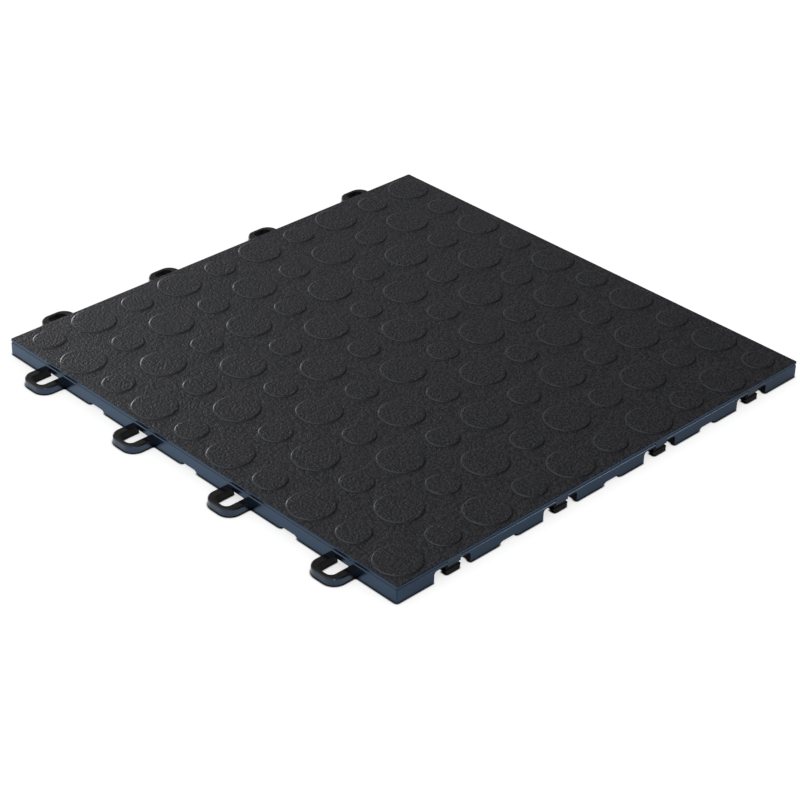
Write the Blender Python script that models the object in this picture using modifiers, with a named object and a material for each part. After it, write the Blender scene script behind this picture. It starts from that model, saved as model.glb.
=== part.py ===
"""Interlocking basement floor tile, moulded in one piece of black vinyl.

The tile lies flat with its feet on z = 0 and its centre on the origin. Its top carries a chequered
grid of large and small coins. The -X and -Y sides carry loops, the +X and +Y sides carry barbed pegs
in sockets, and the underside is hollow with a grid of ribs. Lengths are in metres.
"""
import math

import bmesh
import bpy
from mathutils import Matrix, Vector

MM = 0.001

# Body
TILE_SIDE = 304.8 * MM
BODY_HEIGHT = 9.8 * MM
PLATE_THICKNESS = 2.6 * MM
SKIRT_WALL = 2.4 * MM
CORNER_RADIUS = 0.8 * MM
TOP_EDGE_ROUND = 0.4 * MM
GROOVE_DROP = 1.3 * MM
GROOVE_HEIGHT = 1.4 * MM
GROOVE_OVERHANG = 0.4 * MM
GROOVE_DEPTH = 0.35 * MM

# Coins on the top face
COINS_PER_SIDE = 10
COIN_HEIGHT = 0.45 * MM
COIN_BEVEL = 0.6 * MM
LARGE_COIN_DIAMETER = 26.0 * MM
SMALL_COIN_DIAMETER = 19.0 * MM
LARGE_COIN_FACETS = 20
SMALL_COIN_FACETS = 16

# Underside
RIB_SPACES = 12
RIB_THICKNESS = 1.2 * MM

# Loops on the -X and -Y sides
LINKS_PER_SIDE = 4
LOOP_WIDTH = 20.2 * MM
LOOP_REACH = 14.6 * MM
LOOP_HEIGHT = 4.5 * MM
LOOP_CORNER_RADIUS = 7.0 * MM
LOOP_EDGE_BEVEL = 0.5 * MM
SLOT_WIDTH = 10.8 * MM
SLOT_REACH = 12.0 * MM
SLOT_CORNER_RADIUS = 3.2 * MM
SLOT_TAPER = 0.4 * MM
CATCH_WIDTH = 10.4 * MM
CATCH_HEIGHT = 4.3 * MM

# Sockets and pegs on the +X and +Y sides
SOCKET_WIDTH = 24.6 * MM
SOCKET_SHIFT = 1.1 * MM
SOCKET_DEPTH = 16.0 * MM
SOCKET_HEIGHT = 6.4 * MM
SOCKET_CORNER_RADIUS = 2.0 * MM
PEG_SLOT_CLEARANCE = 1.0 * MM
PEG_DEPTH = 4.6 * MM
PEG_THROAT = 1.3 * MM
PEG_SHOULDER_HEIGHT = 4.9 * MM
BARB_SLOT_BITE = 0.2 * MM
BARB_HEIGHT = 2.2 * MM
BARB_FLOOR_GAP = 0.1 * MM
BARB_SIDE_LEAN = 1.6 * MM
BARB_FRONT_LEAN = 1.0 * MM
BARB_BACK_RISE = 0.6 * MM
BARB_TIP_ROUND = 0.7 * MM

# Drain arches in the bottom edge of the skirt
ARCHES_PER_SIDE = 3
ARCH_WIDTH = 14.4 * MM
ARCH_HEIGHT = 1.8 * MM
ARCH_END_LEAN = 2.4 * MM
ARCH_END_RADIUS = 1.0 * MM

# How far one solid runs into the next, or a cutter past the face it opens
OVERLAP = 1.0 * MM
EMBED = 0.5 * MM

HALF_SIDE = TILE_SIDE / 2
PLATE_UNDERSIDE = BODY_HEIGHT - PLATE_THICKNESS

# A peg passes through the slot of the next tile's loop with play, and its barb bites on both sides.
PEG_WIDTH = SLOT_WIDTH - 2 * PEG_SLOT_CLEARANCE
BARB_WIDTH = SLOT_WIDTH + 2 * BARB_SLOT_BITE

# What a side carries is built facing -Y, then placed on its two sides. The tile is its own mirror
# image across the diagonal between its loop corner and its peg corner.
ACROSS_DIAGONAL = Matrix(((0, 1, 0, 0), (1, 0, 0, 0), (0, 0, 1, 0), (0, 0, 0, 1)))
QUARTER_TURN = Matrix.Rotation(math.pi / 2, 4, "Z")
LOOP_SIDES = (Matrix.Identity(4), ACROSS_DIAGONAL)
PEG_SIDES = (QUARTER_TURN, ACROSS_DIAGONAL @ QUARTER_TURN)


def clear_scene():
    for old in list(bpy.data.objects):
        bpy.data.objects.remove(old, do_unlink=True)


def cutter_collection():
    collection = bpy.data.collections.new("cutters")
    bpy.context.scene.collection.children.link(collection)
    return collection


def mesh_object(name, mesh_builder, collection):
    """Wrap a bmesh built solid in a named object."""
    mesh = bpy.data.meshes.new(name)
    mesh_builder.to_mesh(mesh)
    mesh_builder.free()
    item = bpy.data.objects.new(name, mesh)
    collection.objects.link(item)
    return item


def as_tool(item):
    item.hide_render = True
    item.display_type = "WIRE"
    return item


def combine(target, tool, operation):
    boolean = target.modifiers.new(tool.name, "BOOLEAN")
    boolean.operation = operation
    boolean.solver = "EXACT"
    boolean.object = tool


def add_box(solid, low, high):
    """Add a box between two corners and return its vertices."""
    size = Vector(high) - Vector(low)
    centre = (Vector(high) + Vector(low)) / 2
    place = Matrix.Translation(centre) @ Matrix.Diagonal((*size, 1.0))
    return bmesh.ops.create_cube(solid, size=1.0, matrix=place)["verts"]


def box_edges(verts, wanted):
    """The edges among these vertices for which wanted(first, second) is true."""
    edges = {edge for vert in verts for edge in vert.link_edges}
    return [edge for edge in edges if wanted(edge.verts[0].co, edge.verts[1].co)]


def round_edges(solid, edges, radius, segments):
    bmesh.ops.bevel(
        solid, geom=edges, offset=radius, segments=segments, profile=0.5, affect="EDGES"
    )


def is_upright(first, second):
    return abs(first.z - second.z) > (first - second).xy.length


def along_side(count, share):
    """Places along a side, from its middle, at count equal steps offset by a share of a step."""
    step = TILE_SIDE / count
    return [-HALF_SIDE + step * (index + share) for index in range(count)]


LINK_PLACES = along_side(LINKS_PER_SIDE, 0.5)
ARCH_PLACES = along_side(ARCHES_PER_SIDE + 1, 1.0)[:ARCHES_PER_SIDE]


def place_on_sides(solid, sides):
    """Replace a solid on the -Y side by its copies on the wanted sides."""
    source = solid.copy()
    solid.clear()
    for side in sides:
        piece = source.copy()
        piece.transform(side)
        if side.determinant() < 0:
            bmesh.ops.reverse_faces(piece, faces=list(piece.faces))
        copy = bpy.data.meshes.new("side_copy")
        piece.to_mesh(copy)
        solid.from_mesh(copy)
        bpy.data.meshes.remove(copy)
        piece.free()
    source.free()


def make_body(collection):
    """The plate and skirt, drawn down from the top face through each level of the edge."""
    groove_top = BODY_HEIGHT - GROOVE_DROP
    levels = (
        (groove_top, 0.0),
        (groove_top - GROOVE_OVERHANG, GROOVE_DEPTH),
        (groove_top - GROOVE_HEIGHT, 0.0),
        (0.0, 0.0),
    )
    solid = bmesh.new()
    verts = add_box(
        solid,
        (-HALF_SIDE, -HALF_SIDE, BODY_HEIGHT - TOP_EDGE_ROUND),
        (HALF_SIDE, HALF_SIDE, BODY_HEIGHT),
    )
    round_edges(solid, box_edges(verts, is_upright), CORNER_RADIUS, 3)
    solid.faces.ensure_lookup_table()
    top = max(solid.faces, key=lambda face: face.calc_center_median().z)
    shrink = 1 - TOP_EDGE_ROUND / HALF_SIDE
    bmesh.ops.scale(solid, vec=(shrink, shrink, 1.0), verts=list(top.verts))
    bottom = min(solid.faces, key=lambda face: face.calc_center_median().z)
    last_height = BODY_HEIGHT - TOP_EDGE_ROUND
    last_inset = 0.0
    for height, inset in levels:
        drawn = bmesh.ops.extrude_face_region(solid, geom=[bottom])["geom"]
        bmesh.ops.delete(solid, geom=[bottom], context="FACES_ONLY")
        ring = [part for part in drawn if isinstance(part, bmesh.types.BMVert)]
        bottom = next(part for part in drawn if isinstance(part, bmesh.types.BMFace))
        shrink = (HALF_SIDE - inset) / (HALF_SIDE - last_inset)
        bmesh.ops.scale(solid, vec=(shrink, shrink, 1.0), verts=ring)
        bmesh.ops.translate(solid, vec=(0.0, 0.0, height - last_height), verts=ring)
        last_height, last_inset = height, inset
    bmesh.ops.recalc_face_normals(solid, faces=list(solid.faces))
    return mesh_object("floor_tile", solid, collection)


def make_pockets(collection):
    """The hollow underside: one box between each pair of ribs, kept inside the skirt."""
    pitch = TILE_SIDE / RIB_SPACES
    pocket = pitch - RIB_THICKNESS
    first = -HALF_SIDE + RIB_THICKNESS / 2
    solid = bmesh.new()
    add_box(
        solid,
        (first, first, -OVERLAP),
        (first + pocket, first + pocket, PLATE_UNDERSIDE),
    )
    pockets = mesh_object("pockets", solid, collection)
    for name, axis in (("across", 0), ("along", 1)):
        array = pockets.modifiers.new(name, "ARRAY")
        array.count = RIB_SPACES
        array.use_relative_offset = False
        array.use_constant_offset = True
        offset = [0.0, 0.0, 0.0]
        offset[axis] = pitch
        array.constant_offset_displace = offset
    inner = HALF_SIDE - SKIRT_WALL
    solid = bmesh.new()
    add_box(
        solid,
        (-inner, -inner, -2 * OVERLAP),
        (inner, inner, PLATE_UNDERSIDE + OVERLAP),
    )
    field = as_tool(mesh_object("pocket_field", solid, collection))
    combine(pockets, field, "INTERSECT")
    return as_tool(pockets)


def make_coins(collection):
    """The chequered coins, small ones at the corner where the two loop sides meet."""
    solid = bmesh.new()
    places = along_side(COINS_PER_SIDE, 0.5)
    for column, x in enumerate(places):
        for row, y in enumerate(places):
            small = (column + row) % 2 == 0
            diameter = SMALL_COIN_DIAMETER if small else LARGE_COIN_DIAMETER
            # The cone's flank goes on below the plate's face, so its foot there keeps the diameter.
            spread = COIN_BEVEL / COIN_HEIGHT * EMBED
            bmesh.ops.create_cone(
                solid,
                cap_ends=True,
                segments=SMALL_COIN_FACETS if small else LARGE_COIN_FACETS,
                radius1=diameter / 2 + spread,
                radius2=diameter / 2 - COIN_BEVEL,
                depth=COIN_HEIGHT + EMBED,
                matrix=Matrix.Translation((x, y, BODY_HEIGHT + (COIN_HEIGHT - EMBED) / 2)),
            )
    return as_tool(mesh_object("coins", solid, collection))


def make_loops(collection):
    """The outside of each loop: a bar bent round a slot, with its root inside the skirt."""
    solid = bmesh.new()
    for x in LINK_PLACES:
        verts = add_box(
            solid,
            (x - LOOP_WIDTH / 2, -HALF_SIDE - LOOP_REACH, 0.0),
            (x + LOOP_WIDTH / 2, -HALF_SIDE + SKIRT_WALL / 2, LOOP_HEIGHT),
        )
        outer = box_edges(
            verts, lambda a, b: is_upright(a, b) and a.y < -HALF_SIDE - EMBED
        )
        round_edges(solid, outer, LOOP_CORNER_RADIUS, 6)
    rim = [
        edge
        for edge in solid.edges
        if all(vert.co.z > LOOP_HEIGHT - EMBED for vert in edge.verts)
        and not all(vert.co.y > -HALF_SIDE for vert in edge.verts)
    ]
    round_edges(solid, rim, LOOP_EDGE_BEVEL, 1)
    place_on_sides(solid, LOOP_SIDES)
    return as_tool(mesh_object("loops", solid, collection))


def lean_slot_walls(slots):
    """Narrow each slot evenly towards the floor. The walls lean, and the skirt side stays upright."""
    straight = SLOT_WIDTH / 2 - SLOT_CORNER_RADIUS
    turn = -HALF_SIDE - SLOT_REACH + SLOT_CORNER_RADIUS
    for vert in slots.verts:
        x = min(LINK_PLACES, key=lambda place: abs(place - vert.co.x))
        across = min(max(vert.co.x, x - straight), x + straight)
        centre = Vector((across, max(vert.co.y, turn), vert.co.z))
        lean = SLOT_TAPER * (1 - vert.co.z / LOOP_HEIGHT)
        vert.co = centre + (vert.co - centre) * (1 - lean / SLOT_CORNER_RADIUS)


def make_slots(collection):
    """The slot of each loop, and the catch through the skirt behind it."""
    slots = bmesh.new()
    catches = bmesh.new()
    for x in LINK_PLACES:
        verts = add_box(
            slots,
            (x - SLOT_WIDTH / 2, -HALF_SIDE - SLOT_REACH, -OVERLAP),
            (x + SLOT_WIDTH / 2, -HALF_SIDE - EMBED / 5, LOOP_HEIGHT + OVERLAP),
        )
        outer = box_edges(
            verts, lambda a, b: is_upright(a, b) and a.y < -HALF_SIDE - EMBED
        )
        round_edges(slots, outer, SLOT_CORNER_RADIUS, 3)
        add_box(
            catches,
            (x - CATCH_WIDTH / 2, -HALF_SIDE - SLOT_REACH / 2, -OVERLAP),
            (x + CATCH_WIDTH / 2, -HALF_SIDE + SKIRT_WALL + EMBED, CATCH_HEIGHT),
        )
    lean_slot_walls(slots)
    place_on_sides(slots, LOOP_SIDES)
    place_on_sides(catches, LOOP_SIDES)
    return (
        as_tool(mesh_object("slots", slots, collection)),
        as_tool(mesh_object("catches", catches, collection)),
    )


def make_sockets(collection):
    """The openings in the peg sides that take the next tile's loops."""
    solid = bmesh.new()
    for x in LINK_PLACES:
        middle = x - SOCKET_SHIFT
        verts = add_box(
            solid,
            (middle - SOCKET_WIDTH / 2, -HALF_SIDE - OVERLAP, -OVERLAP),
            (middle + SOCKET_WIDTH / 2, -HALF_SIDE + SOCKET_DEPTH, SOCKET_HEIGHT),
        )
        upper = box_edges(
            verts,
            lambda a, b: min(a.z, b.z) > SOCKET_HEIGHT - EMBED and abs(a.y - b.y) > EMBED,
        )
        round_edges(solid, upper, SOCKET_CORNER_RADIUS, 3)
    place_on_sides(solid, PEG_SIDES)
    return as_tool(mesh_object("sockets", solid, collection))


def make_pegs(collection):
    """The pegs: a front panel flush with the side, and a throat set back behind it."""
    back = -HALF_SIDE + PEG_DEPTH
    throat = -HALF_SIDE + PEG_THROAT
    panel_top = BODY_HEIGHT - GROOVE_DROP / 2
    foot = BARB_FLOOR_GAP + BARB_HEIGHT / 2
    profile = (
        (back, panel_top),
        (back, foot),
        (throat, foot),
        (throat, PEG_SHOULDER_HEIGHT),
        (-HALF_SIDE, PEG_SHOULDER_HEIGHT),
        (-HALF_SIDE, panel_top),
    )
    solid = bmesh.new()
    for x in LINK_PLACES:
        corners = [solid.verts.new((x - PEG_WIDTH / 2, y, z)) for y, z in profile]
        side = solid.faces.new(corners)
        drawn = bmesh.ops.extrude_face_region(solid, geom=[side], use_keep_orig=True)["geom"]
        moved = [part for part in drawn if isinstance(part, bmesh.types.BMVert)]
        bmesh.ops.translate(solid, vec=(PEG_WIDTH, 0.0, 0.0), verts=moved)
    bmesh.ops.recalc_face_normals(solid, faces=list(solid.faces))
    place_on_sides(solid, PEG_SIDES)
    return as_tool(mesh_object("pegs", solid, collection))


def make_barbs(collection):
    """The barbs: wedges at the foot of the pegs, wider and further back at the top than at the tip."""
    barb_top = BARB_FLOOR_GAP + BARB_HEIGHT
    back = -HALF_SIDE + PEG_DEPTH
    solid = bmesh.new()
    for x in LINK_PLACES:
        verts = add_box(
            solid,
            (x - BARB_WIDTH / 2, -HALF_SIDE, BARB_FLOOR_GAP),
            (x + BARB_WIDTH / 2, back, barb_top),
        )
        for vert in verts:
            at_back = vert.co.y > -HALF_SIDE + EMBED
            if vert.co.z > BARB_FLOOR_GAP + EMBED:
                vert.co.y += 0.0 if at_back else BARB_FRONT_LEAN
                continue
            rise = BARB_BACK_RISE if at_back else 0.0
            lean = BARB_SIDE_LEAN * (1 - rise / BARB_HEIGHT)
            vert.co.z += rise
            vert.co.x += lean if vert.co.x < x else -lean
        tips = box_edges(
            verts, lambda a, b: max(a.z, b.z) < barb_top - EMBED and abs(a.y - b.y) > EMBED
        )
        round_edges(solid, tips, BARB_TIP_ROUND, 2)
    place_on_sides(solid, PEG_SIDES)
    return as_tool(mesh_object("barbs", solid, collection))


def make_arches(collection):
    """The shallow drain arches under every side."""
    solid = bmesh.new()
    for x in ARCH_PLACES:
        verts = add_box(
            solid,
            (x - ARCH_WIDTH / 2, -HALF_SIDE - OVERLAP, -OVERLAP),
            (x + ARCH_WIDTH / 2, -HALF_SIDE + SKIRT_WALL + EMBED, ARCH_HEIGHT),
        )
        for vert in verts:
            lean = ARCH_END_LEAN * vert.co.z / ARCH_HEIGHT
            vert.co.x += lean if vert.co.x < x else -lean
        upper = box_edges(
            verts, lambda a, b: min(a.z, b.z) > 0 and abs(a.y - b.y) > EMBED
        )
        round_edges(solid, upper, ARCH_END_RADIUS, 3)
    place_on_sides(solid, LOOP_SIDES + PEG_SIDES)
    return as_tool(mesh_object("arches", solid, collection))


def black_vinyl():
    material = bpy.data.materials.new("black_vinyl")
    material.use_nodes = True
    shader = material.node_tree.nodes["Principled BSDF"]
    shader.inputs["Base Color"].default_value = (0.028, 0.028, 0.031, 1.0)
    shader.inputs["Roughness"].default_value = 0.5
    shader.inputs["Metallic"].default_value = 0.0
    return material


clear_scene()
cutters = cutter_collection()
tile = make_body(bpy.context.scene.collection)
slot_tool, catch_tool = make_slots(cutters)
combine(tile, make_pockets(cutters), "DIFFERENCE")
combine(tile, make_loops(cutters), "UNION")
combine(tile, slot_tool, "DIFFERENCE")
combine(tile, catch_tool, "DIFFERENCE")
combine(tile, make_sockets(cutters), "DIFFERENCE")
combine(tile, make_arches(cutters), "DIFFERENCE")
combine(tile, make_pegs(cutters), "UNION")
combine(tile, make_barbs(cutters), "UNION")
combine(tile, make_coins(cutters), "UNION")
tile.data.materials.append(black_vinyl())
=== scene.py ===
import math

import bmesh
import bpy
from mathutils import Matrix, Vector


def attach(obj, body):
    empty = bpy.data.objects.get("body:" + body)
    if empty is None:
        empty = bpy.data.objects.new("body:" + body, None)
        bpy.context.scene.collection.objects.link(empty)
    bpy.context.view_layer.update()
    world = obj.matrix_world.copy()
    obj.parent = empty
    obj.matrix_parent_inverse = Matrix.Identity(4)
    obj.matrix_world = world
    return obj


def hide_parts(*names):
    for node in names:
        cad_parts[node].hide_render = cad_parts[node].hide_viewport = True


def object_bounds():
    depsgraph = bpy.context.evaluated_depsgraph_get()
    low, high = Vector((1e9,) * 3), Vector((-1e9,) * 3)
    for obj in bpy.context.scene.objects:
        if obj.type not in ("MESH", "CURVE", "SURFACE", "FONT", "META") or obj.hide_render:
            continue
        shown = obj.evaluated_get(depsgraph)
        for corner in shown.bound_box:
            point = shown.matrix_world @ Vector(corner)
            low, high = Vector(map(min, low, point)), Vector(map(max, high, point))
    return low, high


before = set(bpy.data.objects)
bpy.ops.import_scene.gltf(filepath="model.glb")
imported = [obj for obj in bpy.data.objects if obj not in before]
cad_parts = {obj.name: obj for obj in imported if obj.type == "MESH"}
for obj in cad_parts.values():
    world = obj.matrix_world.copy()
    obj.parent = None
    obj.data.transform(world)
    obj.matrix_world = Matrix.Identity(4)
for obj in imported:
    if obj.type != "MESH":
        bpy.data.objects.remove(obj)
cadLow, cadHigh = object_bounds()
print("frame loaded")

mm = 0.001                        # lengths are in metres
halfSide = cadHigh.x              # the peg sides are the tile's own faces
loopReach = -cadLow.x - halfSide  # the loops are all that stands past the other two
coinTop = cadHigh.z

# moulded body: heights are above the floor, insets are in from the side faces
body = {
    "coinHeight": 0.45 * mm,
    "plateThickness": 2.6 * mm,
    "cornerRadius": 0.8 * mm,
    "cornerSteps": 8,
    "topEdgeRound": 0.4 * mm,
    "topEdgeSteps": 4,
    "grooveDrop": 1.3 * mm,
    "grooveHeight": 1.4 * mm,
    "grooveOverhang": 0.4 * mm,
    "grooveDepth": 0.35 * mm,
    "lipRound": 0.12 * mm,
    "lipShare": 0.2,           # of the groove's depth, where the rounds of its lips end
    "grooveFootShare": 0.07,   # the same at its foot, halfway round the lower lip
    "slopeStart": 0.1 * mm,    # from the foot up to where its slope starts
    "slopeEnd": 0.35 * mm,     # from the deepest line down to where the slope ends
    "slopeEndShare": 0.98,
    "skirtWall": 2.4 * mm,
    "footRound": 0.35 * mm,
}
plateTop = coinTop - body["coinHeight"]
plateUnder = plateTop - body["plateThickness"]

# an overlap lets one solid run into the next, or a cutter past the face it opens
overlap = 1.0 * mm
nearby = 0.1 * mm     # points closer than this are taken as being in the same place


def roundedOutline(low, high, radii, steps):
    # points round a rectangle, counterclockwise from its low corner, with a radius for each corner
    centres = (
        (low[0], low[1], 1, 1, 180),
        (high[0], low[1], -1, 1, 270),
        (high[0], high[1], -1, -1, 0),
        (low[0], high[1], 1, -1, 90),
    )
    points = []
    for (x, y, towardX, towardY, start), radius in zip(centres, radii):
        for step in range(steps + 1):
            angle = math.radians(start + 90 * step / steps)
            points.append((
                x + towardX * radius + radius * math.cos(angle),
                y + towardY * radius + radius * math.sin(angle),
            ))
    return points


def circleOutline(centre, radius, steps):
    turn = 2 * math.pi / steps
    return [
        (centre[0] + radius * math.cos(turn * step), centre[1] + radius * math.sin(turn * step))
        for step in range(steps)
    ]


def loft(solid, rings):
    # skin a closed solid over rings of points that match one to one
    rows = [[solid.verts.new(point) for point in ring] for ring in rings]
    count = len(rings[0])
    for lower, upper in zip(rows, rows[1:]):
        for index in range(count):
            after = (index + 1) % count
            solid.faces.new((lower[index], lower[after], upper[after], upper[index]))
    solid.faces.new(list(reversed(rows[0])))
    solid.faces.new(rows[-1])


def atHeight(outline, height):
    return [(x, y, height) for x, y in outline]


def roundOver(height, radius, steps, base=0.0):
    # (height, inset) levels up a rounded top edge
    levels = []
    for step in range(steps + 1):
        angle = math.radians(90 * step / steps)
        levels.append((
            height - radius + radius * math.sin(angle),
            base + radius * (1 - math.cos(angle)),
        ))
    return levels


# the tile mirrors itself across its diagonal, so what is made facing -Y is placed on two sides
acrossDiagonal = Matrix(((0, 1, 0, 0), (1, 0, 0, 0), (0, 0, 1, 0), (0, 0, 0, 1)))
quarterTurn = Matrix.Rotation(math.pi / 2, 4, "Z")
loopSides = (Matrix.Identity(4), acrossDiagonal)
pegSides = (quarterTurn, acrossDiagonal @ quarterTurn)


def placeOnSides(solid, sides):
    source = solid.copy()
    solid.clear()
    for side in sides:
        piece = source.copy()
        piece.transform(side)
        if side.determinant() < 0:
            bmesh.ops.reverse_faces(piece, faces=list(piece.faces))
        holder = bpy.data.meshes.new("sideCopy")
        piece.to_mesh(holder)
        solid.from_mesh(holder)
        bpy.data.meshes.remove(holder)
        piece.free()
    source.free()


def toObject(name, solid):
    bmesh.ops.recalc_face_normals(solid, faces=list(solid.faces))
    mesh = bpy.data.meshes.new(name)
    solid.to_mesh(mesh)
    solid.free()
    item = bpy.data.objects.new(name, mesh)
    bpy.context.scene.collection.objects.link(item)
    return item


def alongSide(count, share):
    step = 2 * halfSide / count
    return [-halfSide + step * (index + share) for index in range(count)]


linkPlaces = alongSide(4, 0.5)
archPlaces = alongSide(4, 1.0)[:3]


def makeBody():
    def outline(inset):
        edge = halfSide - inset
        return roundedOutline(
            (-edge, -edge), (edge, edge), [body["cornerRadius"]] * 4, body["cornerSteps"]
        )

    depth = body["grooveDepth"]
    lip = body["lipRound"]
    grooveTop = plateTop - body["grooveDrop"]
    grooveFoot = grooveTop - body["grooveHeight"]
    grooveDeep = grooveTop - body["grooveOverhang"]
    # (height, inset) levels up the side, through the groove
    levels = [
        (0.0, body["footRound"]),
        (body["footRound"], 0.0),
        (grooveFoot - lip, 0.0),
        (grooveFoot, body["grooveFootShare"] * depth),
        (grooveFoot + body["slopeStart"], body["lipShare"] * depth),
        (grooveDeep - body["slopeEnd"], body["slopeEndShare"] * depth),
        (grooveDeep, depth),
        (grooveTop - lip, body["lipShare"] * depth),
        (grooveTop, 0.0),
    ]
    levels += roundOver(plateTop, body["topEdgeRound"], body["topEdgeSteps"])
    solid = bmesh.new()
    loft(solid, [atHeight(outline(inset), height) for height, inset in levels])
    return toObject("mouldedTile", solid)


# ribs under the plate
ribs = {
    "spaces": 12,
    "thickness": 1.2 * mm,
    "cornerRadius": 0.8 * mm,
    "cornerSteps": 2,
    "rootRound": 0.5 * mm,
    "rootSteps": 2,
}


def makePockets():
    pitch = 2 * halfSide / ribs["spaces"]
    inner = halfSide - body["skirtWall"]
    bounds = []
    for index in range(ribs["spaces"]):
        start = -halfSide + pitch * index
        low = max(start + ribs["thickness"] / 2, -inner)
        high = min(start + pitch - ribs["thickness"] / 2, inner)
        bounds.append((low, high))
    levels = [(-overlap, 0.0)] + roundOver(plateUnder, ribs["rootRound"], ribs["rootSteps"])
    solid = bmesh.new()
    for lowX, highX in bounds:
        for lowY, highY in bounds:
            rings = []
            for height, inset in levels:
                outline = roundedOutline(
                    (lowX + inset, lowY + inset),
                    (highX - inset, highY - inset),
                    [ribs["cornerRadius"]] * 4,
                    ribs["cornerSteps"],
                )
                rings.append(atHeight(outline, height))
            loft(solid, rings)
    return toObject("pockets", solid)


# chequered coins
coins = {
    "perSide": 10,
    "largeDiameter": 26.0 * mm,
    "smallDiameter": 19.0 * mm,
    "bevel": 0.6 * mm,
    # share of the coin's height and inset, up its flank and over the soft crown at its rim
    "crown": ((0.50, 0.42 * mm), (0.85, 0.85 * mm), (0.97, 1.25 * mm), (1.0, 1.80 * mm)),
    "sink": 0.5 * mm,         # how far each coin reaches into the plate
    "largeSteps": 72,
    "smallSteps": 56,
}


def makeCoins():
    height = body["coinHeight"]
    sink = coins["sink"]
    profile = [(-sink, -sink * coins["bevel"] / height), (0.0, 0.0)]
    profile += [(share * height, inset) for share, inset in coins["crown"]]
    places = alongSide(coins["perSide"], 0.5)
    solid = bmesh.new()
    for column, x in enumerate(places):
        for row, y in enumerate(places):
            small = (column + row) % 2 == 0
            radius = (coins["smallDiameter"] if small else coins["largeDiameter"]) / 2
            steps = coins["smallSteps"] if small else coins["largeSteps"]
            loft(solid, [
                atHeight(circleOutline((x, y), radius - inset, steps), plateTop + rise)
                for rise, inset in profile
            ])
    return toObject("coins", solid)


# loops on two sides, with their slot and the catch through the skirt behind it
loops = {
    "width": 20.2 * mm,
    "height": 4.5 * mm,
    "cornerRadius": 7.0 * mm,
    "cornerSteps": 14,
    "rootRadius": 0.2 * mm,    # of the two corners inside the skirt
    "edgeRound": 0.8 * mm,
    "edgeSteps": 4,
    "footRound": 0.6 * mm,
    "slotWidth": 10.8 * mm,
    "slotReach": 12.0 * mm,
    "slotStart": 0.1 * mm,     # out from the side face
    "slotCornerRadius": 3.2 * mm,
    "slotCornerSteps": 8,
    "slotRootRadius": 0.6 * mm,
    "slotTaper": 0.4 * mm,     # on each side, from the top to the floor
    "slotFootRound": 0.2 * mm,
    "slotFlare": 0.25 * mm,
    "slotFlareBend": 0.3,      # share of the flare left to rise where it bends outward
    "catchWidth": 10.4 * mm,
    "catchHeight": 4.3 * mm,
    "catchRadius": 0.8 * mm,
}


def makeLoops():
    levels = [(0.0, loops["footRound"]), (loops["footRound"], 0.0)]
    levels += roundOver(loops["height"], loops["edgeRound"], loops["edgeSteps"])
    solid = bmesh.new()
    for x in linkPlaces:
        rings = []
        for height, inset in levels:
            half = loops["width"] / 2 - inset
            outline = roundedOutline(
                (x - half, -halfSide - loopReach + inset),
                (x + half, -halfSide + body["skirtWall"] / 2),
                (loops["cornerRadius"] - inset,) * 2 + (loops["rootRadius"],) * 2,
                loops["cornerSteps"],
            )
            rings.append(atHeight(outline, height))
        loft(solid, rings)
    placeOnSides(solid, loopSides)
    return toObject("loops", solid)


def makeSlots():
    flare = loops["slotFlare"]
    bend = loops["slotFlareBend"]
    taper = loops["slotTaper"]
    foot = loops["slotFootRound"]
    top = loops["height"]
    levels = (
        (-overlap, taper - foot),
        (0.0, taper - foot),
        (foot, taper),
        (top - flare, 0.0),
        (top - bend * flare, -bend * flare),
        (top, -flare),
        (top + overlap, -flare),
    )
    solid = bmesh.new()
    for x in linkPlaces:
        rings = []
        for height, inset in levels:
            half = loops["slotWidth"] / 2 - inset
            outline = roundedOutline(
                (x - half, -halfSide - loops["slotReach"] + inset),
                (x + half, -halfSide - loops["slotStart"]),
                (loops["slotCornerRadius"] - inset,) * 2 + (loops["slotRootRadius"],) * 2,
                loops["slotCornerSteps"],
            )
            rings.append(atHeight(outline, height))
        loft(solid, rings)
    placeOnSides(solid, loopSides)
    return toObject("slots", solid)


def archThrough(solid, middle, width, height, radius, start, end):
    # a cutter with a rounded head, run through a side wall from start to end
    footRadius = 0.1 * mm   # below the floor, so it doesn't show
    steps = 6
    outline = roundedOutline(
        (middle - width / 2, -overlap),
        (middle + width / 2, height),
        (footRadius, footRadius, radius, radius),
        steps,
    )
    loft(solid, [[(x, y, z) for x, z in outline] for y in (start, end)])


def makeCatches():
    solid = bmesh.new()
    for x in linkPlaces:
        archThrough(
            solid, x, loops["catchWidth"], loops["catchHeight"], loops["catchRadius"],
            -halfSide - loops["slotReach"] / 2, -halfSide + body["skirtWall"] + overlap / 2,
        )
    placeOnSides(solid, loopSides)
    return toObject("catches", solid)


# sockets and pegs on the other two sides
sockets = {
    "width": 24.6 * mm,
    "shift": 1.1 * mm,   # off the peg's middle
    "depth": 16.0 * mm,
    "height": 6.4 * mm,
    "cornerRadius": 2.0 * mm,
}
pegs = {
    "width": 8.8 * mm,
    "depth": 4.6 * mm,
    "throat": 1.3 * mm,
    "shoulderHeight": 4.9 * mm,
    "edgeRound": 0.15 * mm,
    "edgeSteps": 2,
}
barbs = {
    "width": 11.2 * mm,      # across its top
    "height": 2.2 * mm,
    "floorGap": 0.1 * mm,
    "sideLean": 1.6 * mm,
    "frontLean": 1.0 * mm,
    "backRise": 0.6 * mm,
    "tipRound": 0.7 * mm,
    "tipSteps": 5,
    "edgeRound": 0.15 * mm,
    "edgeSteps": 2,
}


def makeSockets():
    solid = bmesh.new()
    for x in linkPlaces:
        archThrough(
            solid, x - sockets["shift"], sockets["width"], sockets["height"],
            sockets["cornerRadius"], -halfSide - overlap, -halfSide + sockets["depth"],
        )
    placeOnSides(solid, pegSides)
    return toObject("sockets", solid)


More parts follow.
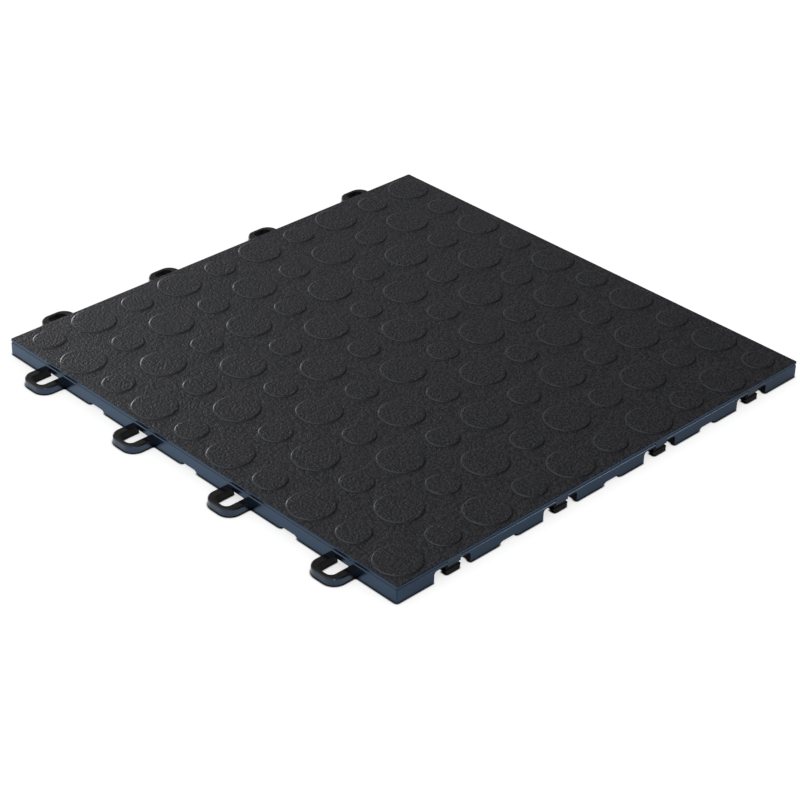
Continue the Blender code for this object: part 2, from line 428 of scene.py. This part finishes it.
def softenEdges(solid, edges, radius, steps):
    bmesh.ops.bevel(
        solid, geom=edges, offset=radius, segments=steps, profile=0.5,
        affect="EDGES", clamp_overlap=True,
    )


def makePegs():
    # a panel flush with the side, which closes the groove there, and a throat set back below it
    front = -halfSide
    back = front + pegs["depth"]
    throat = front + pegs["throat"]
    foot = barbs["floorGap"] + barbs["height"] / 2
    root = plateTop - body["grooveDrop"] / 2
    shoulder = pegs["shoulderHeight"]
    profile = (
        (back, root), (back, foot), (throat, foot),
        (throat, shoulder), (front, shoulder), (front, root),
    )
    solid = bmesh.new()
    for x in linkPlaces:
        half = pegs["width"] / 2
        loft(solid, [[(side, y, z) for y, z in profile] for side in (x - half, x + half)])
    bmesh.ops.recalc_face_normals(solid, faces=list(solid.faces))
    lip = [
        edge for edge in solid.edges
        if all(abs(vert.co.z - shoulder) + abs(vert.co.y - front) < nearby for vert in edge.verts)
    ]
    softenEdges(solid, lip, pegs["edgeRound"], pegs["edgeSteps"])
    placeOnSides(solid, pegSides)
    return toObject("pegs", solid)


def makeBarbs():
    # wedges at the foot of the pegs, wider and further back at the top than at the tip
    low = barbs["floorGap"]
    high = low + barbs["height"]
    solid = bmesh.new()
    for x in linkPlaces:
        corners = []
        for y, z, setBack in (
            (-halfSide, low, 0.0),
            (-halfSide, high, barbs["frontLean"]),
            (-halfSide + pegs["depth"], high, 0.0),
            (-halfSide + pegs["depth"], low + barbs["backRise"], 0.0),
        ):
            half = barbs["width"] / 2 - barbs["sideLean"] * (high - z) / barbs["height"]
            corners.append((half, y + setBack, z))
        loft(solid, [[(x + side * half, y, z) for half, y, z in corners] for side in (-1, 1)])
    bmesh.ops.recalc_face_normals(solid, faces=list(solid.faces))
    # the two edges that run back along the foot of each barb, then what is still sharp
    tips = [
        edge for edge in solid.edges
        if all(vert.co.z < low + barbs["backRise"] + nearby for vert in edge.verts)
        and abs(edge.verts[0].co.y - edge.verts[1].co.y) > pegs["depth"] / 2
    ]
    softenEdges(solid, tips, barbs["tipRound"], barbs["tipSteps"])
    sharp = 0.6   # radians
    rims = [edge for edge in solid.edges if edge.calc_face_angle(0) > sharp]
    softenEdges(solid, rims, barbs["edgeRound"], barbs["edgeSteps"])
    placeOnSides(solid, pegSides)
    return toObject("barbs", solid)


# shallow drain arches under every side
arches = {
    "width": 14.4 * mm,      # along the floor
    "height": 1.8 * mm,
    "endLean": 2.4 * mm,
    "endRound": 1.0 * mm,
    # shares of that round: from its bend to each end, and down and out to its middle
    "bendShare": 0.55,
    "middleShares": (0.16, 0.10),
}


def makeArches():
    slope = arches["endLean"] / arches["height"]
    foot = arches["width"] / 2 + overlap * slope
    head = arches["width"] / 2 - arches["endLean"]
    # the sloped end runs into the flat head along a short curve
    turn = arches["endRound"]
    bend = arches["bendShare"]
    down, out = arches["middleShares"]
    profile = (
        (-overlap, foot),
        (arches["height"] - bend * turn / slope, head + bend * turn),
        (arches["height"] - down * turn / slope, head + out * turn),
        (arches["height"], head - bend * turn),
    )
    solid = bmesh.new()
    for x in archPlaces:
        right = [(x + half, z) for z, half in profile]
        left = [(x - half, z) for z, half in reversed(profile)]
        loft(solid, [
            [(across, y, z) for across, z in right + left]
            for y in (-halfSide - overlap, -halfSide + body["skirtWall"] + overlap / 2)
        ])
    placeOnSides(solid, loopSides + pegSides)
    return toObject("arches", solid)


def combine(tile, steps):
    # run the Booleans in turn, then keep only the finished mesh
    for operation, tool in steps:
        boolean = tile.modifiers.new(tool.name, "BOOLEAN")
        boolean.operation = operation
        boolean.solver = "EXACT"
        boolean.object = tool
    graph = bpy.context.evaluated_depsgraph_get()
    finished = bpy.data.meshes.new_from_object(tile.evaluated_get(graph))
    rough = tile.data
    tile.modifiers.clear()
    tile.data = finished
    bpy.data.meshes.remove(rough)
    for _, tool in steps:
        bpy.data.meshes.remove(tool.data)


tile = makeBody()
combine(tile, [
    ("DIFFERENCE", makePockets()),
    ("UNION", makeLoops()),
    ("DIFFERENCE", makeSlots()),
    ("DIFFERENCE", makeCatches()),
    ("DIFFERENCE", makeSockets()),
    ("DIFFERENCE", makeArches()),
    ("UNION", makePegs()),
    ("UNION", makeBarbs()),
    ("UNION", makeCoins()),
])
print("tile moulded:", len(tile.data.polygons), "faces")


# finishes of the black vinyl: colours are kept dark, because its gloss gives most of what shows
topFinish = {
    "valley": (0.0005, 0.0005, 0.0009),   # colour in the hollows of the grain
    "crest": (0.0152, 0.0149, 0.0181),    # and on its tips
    "roughness": 0.42,
    "roughnessSpread": 0.10,
    "specular": 0.5,
    "specularTint": (0.86, 0.88, 1.0),
    "grainSize": 1.5 * mm,
    "grainDepth": 0.62 * mm,
    "grainDetail": 2.0,
    "grainRoughness": 0.6,
    "grainContrast": (0.42, 0.62),   # noise levels that show as valley and as crest
    "mottleSize": 14.0 * mm,
    "mottleDetail": 3.0,
    "dustColour": (0.75, 0.75, 0.75),
    "dustRadius": 0.45 * mm,
    "dustPlaces": ((2.3 * mm, -27.2 * mm), (97.9 * mm, -60.9 * mm)),
}
sideFinish = {
    "colour": (0.0030, 0.0036, 0.0050),
    "roughness": 0.20,
    "ior": 1.7,
    "specular": 0.8,
    "specularTint": (0.22, 0.53, 1.0),
    "smudgeSize": 9.0 * mm,
    "waveDepth": 0.02 * mm,
}
loopFinish = {
    "colour": (0.0036, 0.0033, 0.0032),
    "roughness": 0.13,
    "ior": 1.5,
    "specular": 0.45,
    "specularTint": (1.0, 0.93, 0.90),
    "smudgeSize": 5.0 * mm,
    "waveDepth": 0.01 * mm,
}
# painted shade: a darker, duller copy of the vinyl, given to the slot walls, the barbs, the groove
# under its overhang and the upright walls inside the openings
innerShadeFinish = {
    "colour": (0.0023, 0.0023, 0.0028),
    "roughness": 0.45,
    "ior": 1.45,
    "specular": 0.2,
    "specularTint": (1.0, 1.0, 1.0),
    "smudgeSize": 3.0 * mm,
    "waveDepth": 0.01 * mm,
}
rimFinish = {
    "colour": (0.0053, 0.0053, 0.0066),
    "roughness": 0.27,
    "ior": 1.5,
    "specular": 0.65,
    "specularTint": (0.80, 0.87, 1.0),
    "smudgeSize": 4.0 * mm,
    "waveDepth": 0.005 * mm,
}
frontFinish = {
    "colour": (0.0036, 0.0040, 0.0050),
    "roughness": 0.20,
    "ior": 1.6,
    "specular": 0.8,
    "specularTint": (0.46, 0.66, 1.0),
    "smudgeSize": 6.0 * mm,
    "waveDepth": 0.01 * mm,
}
underFinish = {
    "colour": (0.0066, 0.0066, 0.0071),
    "roughness": 0.42,
    "ior": 1.5,
    "specular": 0.4,
    "specularTint": (1.0, 1.0, 1.0),
    "smudgeSize": 6.0 * mm,
    "waveDepth": 0.02 * mm,
}
# what the smooth finishes share
smudge = {
    "detail": 4.0,
    "noiseRoughness": 0.6,
    "colourShares": (0.8, 1.25),
    "roughnessShares": (0.85, 1.25),
}
noiseMiddle = (0.3, 0.7)   # nearly all of a noise lies between these levels


def newMaterial(name):
    material = bpy.data.materials.new(name)
    material.use_nodes = True
    nodes = material.node_tree.nodes
    return material, nodes, material.node_tree.links, nodes["Principled BSDF"]


def addNoise(nodes, links, coords, size, detail, roughness=0.5):
    noise = nodes.new("ShaderNodeTexNoise")
    noise.inputs["Scale"].default_value = 1 / size
    noise.inputs["Detail"].default_value = detail
    noise.inputs["Roughness"].default_value = roughness
    links.new(coords.outputs["Object"], noise.inputs["Vector"])
    return noise.outputs["Fac"]


def addRange(nodes, links, source, low, high, fromLow=0.0, fromHigh=1.0):
    span = nodes.new("ShaderNodeMapRange")
    span.inputs["From Min"].default_value = fromLow
    span.inputs["From Max"].default_value = fromHigh
    span.inputs["To Min"].default_value = low
    span.inputs["To Max"].default_value = high
    links.new(source, span.inputs["Value"])
    return span.outputs["Result"]


def addMath(nodes, links, operation, first, second):
    # either value may be a socket or a plain number
    step = nodes.new("ShaderNodeMath")
    step.operation = operation
    for socket, value in zip(step.inputs, (first, second)):
        if isinstance(value, (int, float)):
            socket.default_value = value
        else:
            links.new(value, socket)
    return step.outputs[0]


def addColourMix(nodes, links, factor, first, second):
    # first shows where the factor is 0; either colour may be a socket or a plain colour
    mix = nodes.new("ShaderNodeMix")
    mix.data_type = "RGBA"
    links.new(factor, mix.inputs[0])
    for socket, value in ((mix.inputs[6], first), (mix.inputs[7], second)):
        if isinstance(value, tuple):
            socket.default_value = (*value, 1.0)
        else:
            links.new(value, socket)
    return mix.outputs[2]


def addBump(nodes, links, source, distance):
    bump = nodes.new("ShaderNodeBump")
    bump.inputs["Strength"].default_value = 1.0
    bump.inputs["Distance"].default_value = distance
    links.new(source, bump.inputs["Height"])
    return bump.outputs["Normal"]


def grainedTop():
    material, nodes, links, shader = newMaterial("grainedTop")
    coords = nodes.new("ShaderNodeTexCoord")
    grain = addNoise(
        nodes, links, coords,
        topFinish["grainSize"], topFinish["grainDetail"], topFinish["grainRoughness"],
    )
    mottle = addNoise(nodes, links, coords, topFinish["mottleSize"], topFinish["mottleDetail"])
    sharpGrain = addRange(nodes, links, grain, 0.0, 1.0, *topFinish["grainContrast"])
    colour = addColourMix(nodes, links, sharpGrain, topFinish["valley"], topFinish["crest"])
    for x, y in topFinish["dustPlaces"]:
        away = nodes.new("ShaderNodeVectorMath")
        away.operation = "DISTANCE"
        away.inputs[1].default_value = (x, y, coinTop)
        links.new(coords.outputs["Object"], away.inputs[0])
        speck = addMath(nodes, links, "LESS_THAN", away.outputs["Value"], topFinish["dustRadius"])
        colour = addColourMix(nodes, links, speck, colour, topFinish["dustColour"])
    links.new(colour, shader.inputs["Base Color"])
    shader.inputs["Specular IOR Level"].default_value = topFinish["specular"]
    shader.inputs["Specular Tint"].default_value = (*topFinish["specularTint"], 1.0)
    spread = topFinish["roughnessSpread"] / 2
    rough = addRange(
        nodes, links, mottle,
        topFinish["roughness"] - spread, topFinish["roughness"] + spread, *noiseMiddle,
    )
    links.new(rough, shader.inputs["Roughness"])
    links.new(addBump(nodes, links, grain, topFinish["grainDepth"]), shader.inputs["Normal"])
    return material


def mouldedFinish(name, finish):
    # a smooth moulded face: faint smudges in its gloss and a slight waviness
    material, nodes, links, shader = newMaterial(name)
    coords = nodes.new("ShaderNodeTexCoord")
    smudges = addNoise(
        nodes, links, coords, finish["smudgeSize"], smudge["detail"], smudge["noiseRoughness"]
    )
    darker, lighter = (
        tuple(share * part for part in finish["colour"]) for share in smudge["colourShares"]
    )
    spread = addRange(nodes, links, smudges, 0.0, 1.0, *noiseMiddle)
    links.new(addColourMix(nodes, links, spread, darker, lighter), shader.inputs["Base Color"])
    shader.inputs["IOR"].default_value = finish["ior"]
    shader.inputs["Specular IOR Level"].default_value = finish["specular"]
    shader.inputs["Specular Tint"].default_value = (*finish["specularTint"], 1.0)
    glossy, dull = (finish["roughness"] * share for share in smudge["roughnessShares"])
    rough = addRange(nodes, links, smudges, glossy, dull, *noiseMiddle)
    links.new(rough, shader.inputs["Roughness"])
    links.new(addBump(nodes, links, smudges, finish["waveDepth"]), shader.inputs["Normal"])
    return material


# where one finish meets the next
borders = {
    "topNormal": 0.97,             # 1 faces up, 0 sideways: the grained top is flatter than this
    "rimNormal": 0.7,              # and a coin's rim than this
    "loopTopNormal": 0.6,
    "innerNormal": 0.9,            # a flatter face inside the sockets is underside
    "slotMargin": 0.4 * mm,
    "barbDepthMargin": 0.3 * mm,
    "barbSideMargin": 0.2 * mm,
    "topMargin": 0.05 * mm,
    "loopMargin": 0.2 * mm,        # out from the side faces
    "grooveInset": 1.0 * mm,       # in from the side faces
    "grooveShade": 0.3 * mm,       # past the overhang, how far down the painted shade in the groove reaches
    "grooveMargin": 0.05 * mm,
    "underInset": 0.8 * mm,
    "skirtMargin": 3.0 * mm,       # past the skirt's wall, where the walls of openings end
}


def inSlot(centre):
    # whether a point lies in the slot of a loop, its walls included
    margin = borders["slotMargin"]
    for across, out in ((centre.x, -centre.y), (centre.y, -centre.x)):
        aside = min(abs(across - place) for place in linkPlaces)
        reach = out - halfSide
        if 0 < reach < loops["slotReach"] + margin and aside < loops["slotWidth"] / 2 + margin:
            return True
    return False


def onBarb(centre):
    # whether a point lies on the barb at the foot of a peg
    for across, back in ((centre.y, halfSide - centre.x), (centre.x, halfSide - centre.y)):
        aside = min(abs(across - place) for place in linkPlaces)
        deepEnough = back < pegs["depth"] + borders["barbDepthMargin"]
        if deepEnough and aside < barbs["width"] / 2 + borders["barbSideMargin"]:
            return centre.z < barbs["floorGap"] + barbs["height"] + nearby
    return False


finishes = (
    grainedTop(),
    mouldedFinish("polishedSide", sideFinish),
    mouldedFinish("loopTop", loopFinish),
    mouldedFinish("underside", underFinish),
    mouldedFinish("innerShadeFaces", innerShadeFinish),
    mouldedFinish("coinRims", rimFinish),
    mouldedFinish("loopFronts", frontFinish),
)
finishNames = [material.name for material in finishes]


def finishOf(face):
    # the name of a face's finish, by where the face is and how it faces
    centre = face.center
    upward = face.normal.z
    outside = max(abs(centre.x), abs(centre.y)) - halfSide
    if centre.z > plateTop - borders["topMargin"] and upward > borders["rimNormal"]:
        return "grainedTop" if upward > borders["topNormal"] else "coinRims"
    onLoop = outside > borders["loopMargin"]
    if onLoop and upward > borders["loopTopNormal"]:
        return "loopTop"
    # painted shade: the barbs and the walls of the slots get the dark, dull inner finish
    if onBarb(centre) or inSlot(centre):
        return "innerShadeFaces"
    # painted shade and light: the groove under its overhang gets the dark inner finish, and its
    # slope gets the paler loop-front gloss, a lit copy that brightens the lamps' highlight along
    # it
    drop = plateTop - centre.z - body["grooveDrop"]
    nearSide = -borders["grooveInset"] < outside < nearby
    if nearSide and 0 < drop < body["grooveHeight"] + borders["grooveMargin"]:
        shaded = drop < body["grooveOverhang"] + borders["grooveShade"]
        return "innerShadeFaces" if shaded else "loopFronts"
    if onLoop:
        return "loopFronts"
    # painted shade: upright walls inside the openings near the skirt get the dark, dull inner
    # finish; other faces under the tile get the underside finish
    if outside < -borders["underInset"] and centre.z < plateTop - nearby:
        nearSkirt = outside > -body["skirtWall"] - borders["skirtMargin"]
        upright = abs(upward) < borders["innerNormal"]
        return "innerShadeFaces" if nearSkirt and upright else "underside"
    return "polishedSide"


for material in finishes:
    tile.data.materials.append(material)
for face in tile.data.polygons:
    face.material_index = finishNames.index(finishOf(face))
creaseAngle = math.radians(38)   # edges that turn more than this stay sharp
tile.data.shade_smooth()
tile.data.set_sharp_from_angle(angle=creaseAngle)
weighted = tile.modifiers.new("weightedNormals", "WEIGHTED_NORMAL")
weighted.keep_sharp = True
print("finishes on")

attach(tile, "root")
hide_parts("floor_tile")

# studio: floor, lights and the camera that took the picture
studio = {
    "floorSize": 8.0,
    "floorDrop": 0.02 * mm,         # keeps the floor clear of the tile's foot
    "floorColour": (0.42, 0.42, 0.42),
    "floorRoughness": 0.9,
    "whiteFill": 0.67,              # makes the floor white to the eye
    "contactReach": 1.5 * mm,       # how far the painted contact shadow at the tile's foot reaches
    "glossReach": 2.4 * mm,         # how far it reaches in the tile's gloss
    "contactFade": (0.55, 0.9),     # how open the floor is where that painted shadow is black and where it is gone
    # place across the diagonal and painted brightness of the floor in the tile's gloss, lighter on
    # the key light's side
    "floorGloss": ((-0.32, 0.66), (-0.02, 0.40), (0.02, 0.17), (0.32, 0.08)),
    "worldDiffuse": 0.93,           # lights matt surfaces
    "worldBright": 0.45,            # what gloss shows of the studio, and of its unlit end
    "worldDim": 0.02,
    "darkWall": (0.1, 0.86, 0.5),   # the way to the unlit end
    "darkWallFade": (0.45, 0.95),
    "skylight": (-0.3, -0.3, 0.9),  # the way to the soft patch overhead
    "skylightFade": (0.75, 1.0),
    "skylightLevel": 1.1,
}
# softboxes, each turned to the tile: name, place, width, height, power
softboxes = (
    ("keySoftbox", (-2.1, 0.50, 0.48), 0.62, 0.62, 5.8),
    ("rightStrip", (0.90, 0.62, 0.07), 0.3, 0.12, 0.5),
    ("leftStrip", (-0.60, -0.83, 0.08), 0.5, 0.12, 0.25),
    ("frontLamp", (0.82, -0.82, 0.33), 0.08, 0.08, 1.5),
)
view = {
    "place": (0.7381, -0.7391, 0.6363),
    "target": (0.0358, -0.0376, 0.01004),
    "roll": math.radians(1.645),
    "lens": 100.06,
    "sensor": 36.0,
}


def makeFloor():
    bpy.ops.mesh.primitive_plane_add(
        size=studio["floorSize"], location=(0, 0, -studio["floorDrop"])
    )
    floor = bpy.context.object
    floor.name = "studioFloor"
    material, nodes, links, shader = newMaterial("paleFloor")
    shader.inputs["Roughness"].default_value = studio["floorRoughness"]
    shader.inputs["Specular IOR Level"].default_value = 0.0
    path = nodes.new("ShaderNodeLightPath")
    seen = addMath(
        nodes, links, "MAXIMUM", path.outputs["Is Camera Ray"], path.outputs["Is Transmission Ray"]
    )
    white = addMath(nodes, links, "MULTIPLY", seen, studio["whiteFill"])
    # painted light and shadow: the key light is on one side, so the floor's glow seen in the gloss
    # is painted brighter there and fades across the tile's diagonal
    split = nodes.new("ShaderNodeSeparateXYZ")
    links.new(nodes.new("ShaderNodeTexCoord").outputs["Object"], split.inputs["Vector"])
    across = addMath(nodes, links, "ADD", split.outputs["X"], split.outputs["Y"])
    fade = None
    stops = studio["floorGloss"]
    for (start, startLevel), (end, endLevel) in zip(stops, stops[1:]):
        step = addRange(nodes, links, across, 0.0, endLevel - startLevel, start, end)
        fade = addMath(nodes, links, "ADD", step, startLevel if fade is None else fade)
    inGloss = addMath(nodes, links, "MULTIPLY", path.outputs["Is Glossy Ray"], fade)
    # painted contact shadow: under the tile and right against its foot the floor's colour and glow
    # are darkened as the tile closes it in
    lit = []
    for reach in (studio["contactReach"], studio["glossReach"]):
        contact = nodes.new("ShaderNodeAmbientOcclusion")
        contact.inputs["Distance"].default_value = reach
        openness = contact.outputs["AO"]
        lit.append(addRange(nodes, links, openness, 0.0, 1.0, *studio["contactFade"]))
    colour = addColourMix(nodes, links, lit[0], (0.0, 0.0, 0.0), studio["floorColour"])
    links.new(colour, shader.inputs["Base Color"])
    glow = addMath(
        nodes, links, "ADD",
        addMath(nodes, links, "MULTIPLY", white, lit[0]),
        addMath(nodes, links, "MULTIPLY", inGloss, lit[1]),
    )
    shader.inputs["Emission Color"].default_value = (1, 1, 1, 1)
    links.new(glow, shader.inputs["Emission Strength"])
    floor.data.materials.append(material)


def makeWorld():
    world = bpy.data.worlds.new("studioWorld")
    bpy.context.scene.world = world
    world.use_nodes = True
    nodes = world.node_tree.nodes
    links = world.node_tree.links
    nodes.clear()
    coords = nodes.new("ShaderNodeTexCoord")

    def fadeToward(way, low, high, fade):
        # brightness from low to high as a direction turns toward a way
        turned = nodes.new("ShaderNodeVectorMath")
        turned.operation = "DOT_PRODUCT"
        turned.inputs[1].default_value = way
        links.new(coords.outputs["Generated"], turned.inputs[0])
        return addRange(nodes, links, turned.outputs["Value"], low, high, *fade)

    wall = fadeToward(
        studio["darkWall"], studio["worldBright"], studio["worldDim"], studio["darkWallFade"]
    )
    sky = fadeToward(studio["skylight"], 0.0, studio["skylightLevel"], studio["skylightFade"])
    inGloss = addMath(nodes, links, "ADD", wall, sky)
    path = nodes.new("ShaderNodeLightPath")
    glossy = nodes.new("ShaderNodeMix")
    glossy.data_type = "FLOAT"
    glossy.inputs["A"].default_value = studio["worldDiffuse"]
    links.new(path.outputs["Is Glossy Ray"], glossy.inputs["Factor"])
    links.new(inGloss, glossy.inputs["B"])
    seen = nodes.new("ShaderNodeMix")
    seen.data_type = "FLOAT"
    seen.inputs["B"].default_value = 1.0
    links.new(path.outputs["Is Camera Ray"], seen.inputs["Factor"])
    links.new(glossy.outputs["Result"], seen.inputs["A"])
    background = nodes.new("ShaderNodeBackground")
    background.inputs["Color"].default_value = (1, 1, 1, 1)
    links.new(seen.outputs["Result"], background.inputs["Strength"])
    output = nodes.new("ShaderNodeOutputWorld")
    links.new(background.outputs["Background"], output.inputs["Surface"])


def aimAt(item, target):
    item.rotation_mode = "QUATERNION"
    item.rotation_quaternion = (Vector(target) - item.location).to_track_quat("-Z", "Y")


def makeLights():
    for name, place, width, height, power in softboxes:
        lamp = bpy.data.lights.new(name, "AREA")
        lamp.shape = "RECTANGLE"
        lamp.size = width
        lamp.size_y = height
        lamp.energy = power
        softbox = bpy.data.objects.new(name, lamp)
        softbox.location = place
        bpy.context.scene.collection.objects.link(softbox)
        aimAt(softbox, (0, 0, 0))


def makeCamera():
    camera = bpy.data.objects.new("camera", bpy.data.cameras.new("camera"))
    camera.data.lens = view["lens"]
    camera.data.sensor_width = view["sensor"]
    camera.location = view["place"]
    aimAt(camera, view["target"])
    roll = Matrix.Rotation(view["roll"], 4, "Z").to_quaternion()
    camera.rotation_quaternion = camera.rotation_quaternion @ roll
    bpy.context.scene.collection.objects.link(camera)
    bpy.context.scene.camera = camera


makeFloor()
makeWorld()
makeLights()
makeCamera()
bpy.context.scene.view_settings.view_transform = "Standard"
print("studio ready")
